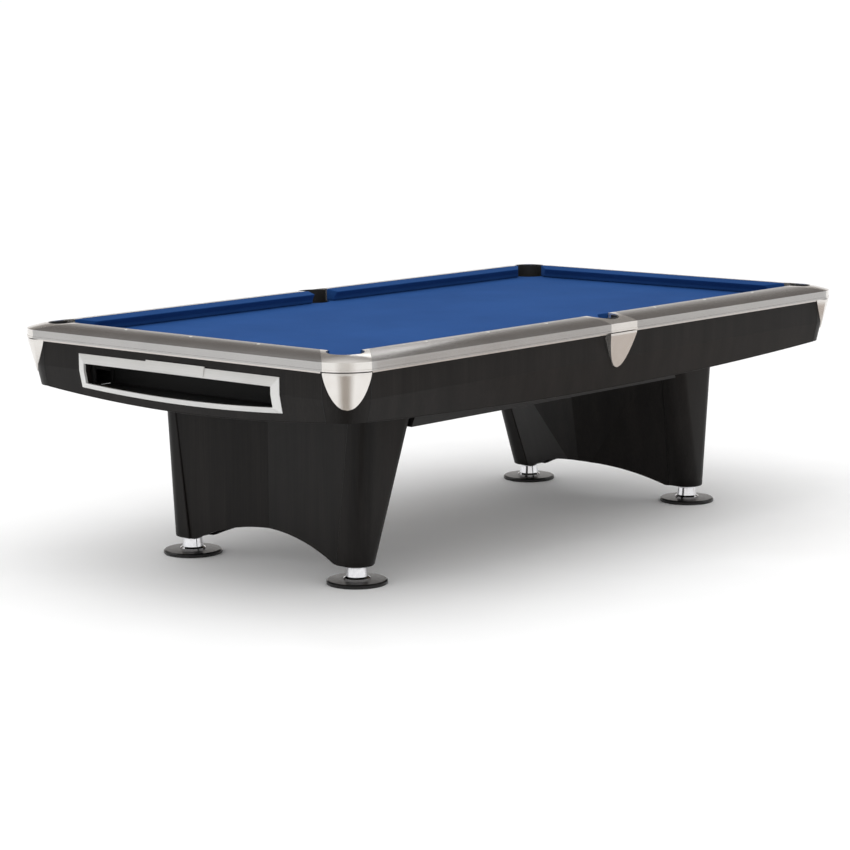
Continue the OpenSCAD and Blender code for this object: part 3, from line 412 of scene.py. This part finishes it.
def drawn_metal(name, along_x, colour, roughness, metallic=1.0):
    metal = Finish(name, Metallic=metallic)
    line = metal.noise((1.2, 900, 900) if along_x else (900, 1.2, 900), 3, 0.6)
    cloud = metal.noise((5, 5, 5), 4, 0.55)
    dark = tuple(c * 0.82 for c in colour)
    metal.vary(Base_Color=metal.tint(line * 0.6 + cloud * 0.4, (0.3, dark), (0.7, colour)),
               Roughness=roughness + 0.10 * line + 0.05 * cloud)
    metal.bump(line, 0.0003, 0.12)
    return metal


rail_grey = (0.49, 0.48, 0.47)
rail_long, rail_end = drawn_metal("rail_along", True, rail_grey, 0.15), drawn_metal("rail_across", False, rail_grey, 0.15)
dress(rail_long, "rail_cap_left", "rail_cap_right")
dress(rail_end, "rail_cap_front", "rail_cap_rear")

pearl = Finish("sight_pearl", Coat_Weight=0.8, Coat_Roughness=0.05)
lustre = pearl.noise((120, 120, 120), 3)
pearl.vary(Base_Color=pearl.tint(lustre, (0.3, (0.70, 0.69, 0.62)), (0.7, (0.86, 0.86, 0.83))),
           Roughness=0.15 + 0.15 * lustre)
dress(pearl, "sights")

# ---------------------------------------------------------------- castings and shields
# Pocket castings and the shields below them are nickel-plated and polished by hand, which
# leaves the faces slightly wavy.

nickel = Finish("casting_nickel", Metallic=0.85)
wave = nickel.noise((9, 9, 9), 2, 0.4)
haze = nickel.noise((24, 24, 24), 3, 0.5)
nickel.vary(Base_Color=nickel.tint(haze, (0.3, (0.72, 0.69, 0.655)), (0.7, (0.77, 0.745, 0.715))),
            Roughness=0.14 + 0.05 * haze)
nickel.bump(wave, 0.002, 0.04)
dress(nickel, "corner_casting", "side_casting", "shields")

# ---------------------------------------------------------------- aprons and trims
# Veneered aprons turn inward at a knee and end in a bowed lower edge with a thin lipping.
# A polished trim runs along their top, in the shadow gap below the rails.

trim_long = drawn_metal("trim_along", True, (0.66, 0.62, 0.59), 0.12)
dress(trim_long, "apron_trims")

lipping = cabinet_wood("edge_lipping", 2.0)
knee_z, tuck = 0.705, math.tan(math.radians(12.2))


def apron_edge(name, node, half_length, along_x, lift):
    """A half-round lipping along an apron's bowed lower edge."""
    low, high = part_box(node)
    sag_low, corner_low = low.z, 0.630
    sag = corner_low - sag_low
    bow = (half_length ** 2 + sag ** 2) / (2 * sag)
    reach = (high.y if along_x else high.x)
    rings = []
    for k in range(65):
        s = half_length * (k / 32 - 1)
        z = sag_low + bow - math.sqrt(bow ** 2 - s ** 2)
        out = reach - (knee_z - z) * tuck
        ring = []
        for a in range(8):
            turn = 2 * math.pi * a / 8
            o, h = out + 0.0016 * math.cos(turn) - 0.0006, z + 0.0016 * math.sin(turn) + 0.0006
            ring.append((s, o * lift, h) if along_x else (o * lift, s, h))
        rings.append(ring)
    points, faces = loft(rings)
    piece(name, lipping, points, faces, 60)


for side, lift in (("left", 1), ("right", -1)):
    apron_edge(f"lipping_{side}", "side_apron_left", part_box("side_apron_left")[1].x, True, lift)
for end, lift in (("front", -1), ("rear", 1)):
    apron_edge(f"lipping_{end}", "end_apron_rear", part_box("end_apron_rear")[1].y, False, lift)

# Black strips on the aprons stand for the shade inside the open joints at the corner posts: painted shade.
painted_joint_shade = Finish("painted_joint_shade")
shade = painted_joint_shade.noise((200, 200, 200), 3)
painted_joint_shade.vary(Base_Color=painted_joint_shade.tint(shade, (0.3, (0.001, 0.001, 0.001)), (0.7, (0.004, 0.004, 0.004))),
                 Roughness=0.7 + 0.2 * shade)
joint_half, joint_proud = 0.0020, 0.0003


def post_joint(name, node, along, across, along_x):
    """Painted shade of the open joint between an apron and a corner post, as a black line down the faces."""
    high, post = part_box(node)[1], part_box("apron_corners")
    seam, face = (high.x, post[1].y) if along_x else (high.y, post[1].x)
    low = post[0].z + 0.001
    strip = []
    for out, z in ((face, high.z), (face, knee_z), (face - (knee_z - low) * tuck, low)):
        for du, ds in ((-0.002, -joint_half), (joint_proud, -joint_half), (joint_proud, joint_half), (-0.002, joint_half)):
            spot = (seam + ds, out + du) if along_x else (out + du, seam + ds)
            strip.append((spot[0] * along, spot[1] * across, z))
    points, faces = loft([strip[0:4], strip[4:8], strip[8:12]])
    piece(name, painted_joint_shade, points, faces, 30)


for end, along in (("front", -1), ("rear", 1)):
    for side, across in (("left", 1), ("right", -1)):
        post_joint(f"joint_shade_long_{end}_{side}", "side_apron_left", along, across, True)
        post_joint(f"joint_shade_short_{end}_{side}", "end_apron_rear", along, across, False)

# ---------------------------------------------------------------- ball box
# A brushed steel bezel frames the opening, with a blank plate on its top member. The box
# behind is lined in matt black, and moulded black channels and liners lead the balls to it.

bezel_steel = drawn_metal("bezel_steel", False, (0.74, 0.74, 0.725), 0.30, 0.35)
dress(bezel_steel, "bezel", "name_plate")

lining = Finish("black_lining")
felt = lining.noise((700, 700, 700), 3)
lining.vary(Base_Color=lining.tint(felt, (0.3, (0.004, 0.004, 0.004)), (0.7, (0.014, 0.014, 0.014))),
            Roughness=0.7 + 0.25 * felt)
lining.bump(felt, 0.0008, 0.5)
dress(lining, "ball_box")

moulded = Finish("black_plastic")
stipple = moulded.noise((500, 500, 500), 2)
moulded.vary(Base_Color=moulded.tint(stipple, (0.3, (0.005, 0.005, 0.005)), (0.7, (0.012, 0.012, 0.012))),
             Roughness=0.45 + 0.25 * stipple)
moulded.bump(stipple, 0.0004, 0.3)
dress(moulded, "ball_tracks", "pocket_liners")

# ---------------------------------------------------------------- floor, light and camera
# A pale studio floor that rises far away, a bright overhead sky with a darker horizon, and
# a large soft box above the table.

paper = Finish("studio_paper")
speck = paper.noise((3, 3, 3), 4)
paper.vary(Base_Color=paper.tint(speck, (0.3, (0.96, 0.96, 0.96)), (0.7, (0.98, 0.98, 0.98))),
           Roughness=0.8 + 0.1 * speck)
sweep = [(0.01, 0), (4, 0), (20, 0), (52, 0), (60, 0.8), (66, 3.0), (68, 6.0)]
rings = [[(r * math.cos(a), r * math.sin(a), z) for a in [math.pi * k / 48 for k in range(96)]] for r, z in sweep]
points, faces = loft(rings, ends=False)
ground = bpy.data.meshes.new("studio_floor")
ground.from_pydata(points, [], faces + [tuple(range(96))])
outward(ground)
ground.materials.append(paper.material)
ground.shade_smooth()
floor = bpy.data.objects.new("studio_floor", ground)
bpy.context.scene.collection.objects.link(floor)

world = bpy.data.worlds.new("studio")
world.use_nodes = True
bpy.context.scene.world = world
sky = world.node_tree
up = sky.nodes.new("ShaderNodeSeparateXYZ")
sky.links.new(sky.nodes.new("ShaderNodeTexCoord").outputs["Generated"], up.inputs[0])
seen = sky.nodes.new("ShaderNodeValToRGB")
sky_bands = [(0.0, 0.80, 0.78, 0.76), (0.19, 0.80, 0.78, 0.76), (0.29, 0.16, 0.14, 0.125),
             (0.44, 0.12, 0.105, 0.095), (0.58, 0.42, 0.41, 0.40), (0.80, 1.1, 1.1, 1.1)]
while len(seen.color_ramp.elements) < len(sky_bands):
    seen.color_ramp.elements.new(1.0)
for band, (place, *colour) in zip(seen.color_ramp.elements, sky_bands):
    band.position, band.color = place, (*colour, 1.0)
sky.links.new(up.outputs["Z"], seen.inputs["Fac"])
either = sky.nodes.new("ShaderNodeMix")
either.data_type = "RGBA"
either.inputs[6].default_value = (1.0, 1.0, 1.0, 1.0)
sky.links.new(sky.nodes.new("ShaderNodeLightPath").outputs["Is Glossy Ray"], either.inputs[0])
sky.links.new(seen.outputs["Color"], either.inputs[7])
sky.links.new(either.outputs[2], sky.nodes["Background"].inputs["Color"])
sky.nodes["Background"].inputs["Strength"].default_value = 1.1


def soft_box(name, place, aim, size, power):
    lamp = bpy.data.lights.new(name, "AREA")
    lamp.shape, lamp.size, lamp.size_y, lamp.energy = "RECTANGLE", size[0], size[1], power
    made = bpy.data.objects.new(name, lamp)
    made.location = place
    made.rotation_mode = "QUATERNION"
    made.rotation_quaternion = (Vector(aim) - Vector(place)).to_track_quat("-Z", "Y")
    made.visible_camera = False
    bpy.context.scene.collection.objects.link(made)


def reflected_card(name, place, turn, spread, dark):
    """A wedge on the floor that only mirror-like faces see, such as the shields. It is
    darkest along its middle and as pale as the floor at its edges."""
    card = Finish(name, Roughness=1.0)
    spot = card.node("TexCoord", out=3)
    ahead, aside = (card.node("SeparateXYZ", {}, {0: spot}, out=k) for k in (0, 1))
    off_middle = card.node("Math", {"operation": "ABSOLUTE"}, {0: aside}) / (ahead * spread)
    card.vary(Base_Color=card.tint(off_middle, (0.0, dark), (0.25, dark), (0.9, (0.97, 0.97, 0.97))))
    shape = bpy.data.meshes.new(name)
    shape.from_pydata([(x, x * spread * s, 0.0) for x, s in ((0.3, -1), (6.0, -1), (6.0, 1), (0.3, 1))],
                      [], [(0, 1, 2, 3)])
    shape.materials.append(card.material)
    made = bpy.data.objects.new(name, shape)
    made.location, made.rotation_euler.z = (*place, 0.012), math.radians(turn)
    bpy.context.scene.collection.objects.link(made)
    made.visible_camera = made.visible_diffuse = made.visible_shadow = False


reflected_card("corner_card", (-1.36, -0.73), 222, 0.62, (0.30, 0.26, 0.22))
reflected_card("side_card", (0.0, -0.78), 323, 0.80, (0.50, 0.44, 0.40))
soft_box("overhead", (-0.6, -0.4, 3.6), (0, 0, 0.8), (3.2, 2.0), 22)
soft_box("far_corner", (4.2, 3.6, 3.6), (-1.3, -0.7, 0.85), (0.9, 0.9), 4)

lens = bpy.data.cameras.new("camera")
lens.sensor_width, lens.lens = 36.0, 107.975
lens.clip_end = 200
camera = bpy.data.objects.new("camera", lens)
camera.location = (-7.2097, -6.1342, 1.8913)
camera.rotation_mode = "QUATERNION"
yaw, pitch, roll = 40.989, -9.047, -0.373
camera.rotation_quaternion = (Matrix.Rotation(math.radians(yaw - 90), 4, "Z")
                              @ Matrix.Rotation(math.radians(90 + pitch), 4, "X")
                              @ Matrix.Rotation(math.radians(roll), 4, "Z")).to_quaternion()
bpy.context.scene.collection.objects.link(camera)
bpy.context.scene.camera = camera
bpy.context.scene.view_settings.view_transform = "Standard"
